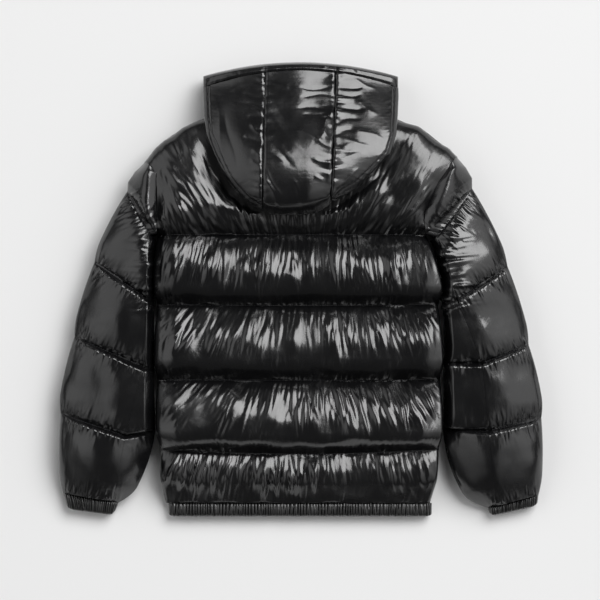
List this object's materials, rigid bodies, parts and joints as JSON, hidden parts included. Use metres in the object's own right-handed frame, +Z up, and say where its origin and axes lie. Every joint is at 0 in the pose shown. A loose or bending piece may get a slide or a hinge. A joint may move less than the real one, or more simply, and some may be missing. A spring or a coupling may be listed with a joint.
{
  "type": "hooded puffer jacket",
  "caption": "Hooded quilted down jacket laid flat on its front, back up, sleeves at the sides, hood folded back over the yoke, elastic hem and cuffs, front zip underneath.",
  "frame": {"origin": "centre of the footprint, on the surface that the jacket lies on", "axes": "+X to the wearer's right, +Y from hem to hood, +Z up from the surface, away from the fronts"},
  "size_m": [0.8504, 0.7972, 0.1515],
  "materials": {
    "glossy_nylon": "high-gloss black nylon shell",
    "ruched_nylon": "black nylon gathered over elastic",
    "zip_tape": "woven black polyester tape",
    "zip_teeth": "moulded black plastic",
    "zip_metal": "black enamelled metal"
  },
  "bodies": {
    "jacket": {"back": "glossy_nylon", "front_left": "glossy_nylon", "front_right": "glossy_nylon", "sleeve_upper_left": "glossy_nylon", "sleeve_under_left": "glossy_nylon", "sleeve_upper_right": "glossy_nylon", "sleeve_under_right": "glossy_nylon", "hood_left": "glossy_nylon", "hood_centre": "glossy_nylon", "hood_right": "glossy_nylon", "hood_band": "glossy_nylon", "cuff_left": "ruched_nylon", "cuff_right": "ruched_nylon", "hem_band": "ruched_nylon", "zip_tape_left": "zip_tape", "zip_tape_right": "zip_tape", "zip_chain": "zip_teeth", "zip_slider": "zip_metal"},
    "pull": {"zip_pull": "zip_metal"}
  },
  "joints": [
    {"name": "pull_hinge", "type": "hinge", "parent": "jacket", "child": "pull", "pos_m": [-0.00164, 0.35473, 0.0023], "axis": [1, 0, 0], "range_deg": [0, 150]}
  ]
}
